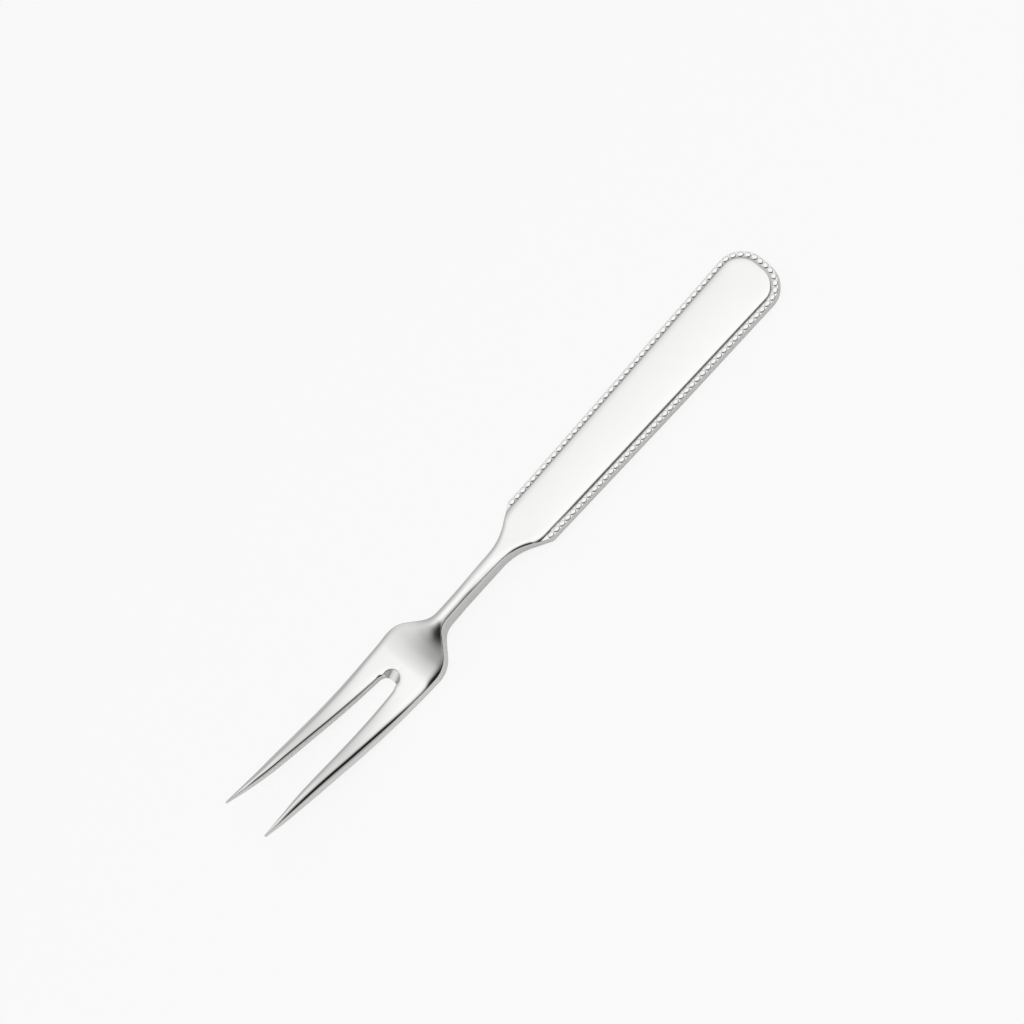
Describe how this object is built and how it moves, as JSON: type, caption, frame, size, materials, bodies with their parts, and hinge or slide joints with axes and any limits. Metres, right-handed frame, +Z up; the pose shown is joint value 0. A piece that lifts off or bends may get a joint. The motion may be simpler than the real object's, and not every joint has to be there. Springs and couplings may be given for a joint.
{
  "type": "butter fork",
  "caption": "Slim polished metal butter fork with long rising tines, a narrow neck, and a flat handle with a raised panel inside a beaded border.",
  "frame": {"origin": "middle of the fork's length and width, on the table that it lies on", "axes": "+X from the tips of the tines to the end of the handle, +Y across the fork, to the right seen from above with the tips ahead, +Z up"},
  "size_m": [0.1499, 0.0162, 0.0071],
  "materials": {
    "polished_metal": "mirror polished"
  },
  "bodies": {
    "root": {"butter_fork": "polished_metal"}
  },
  "joints": []
}
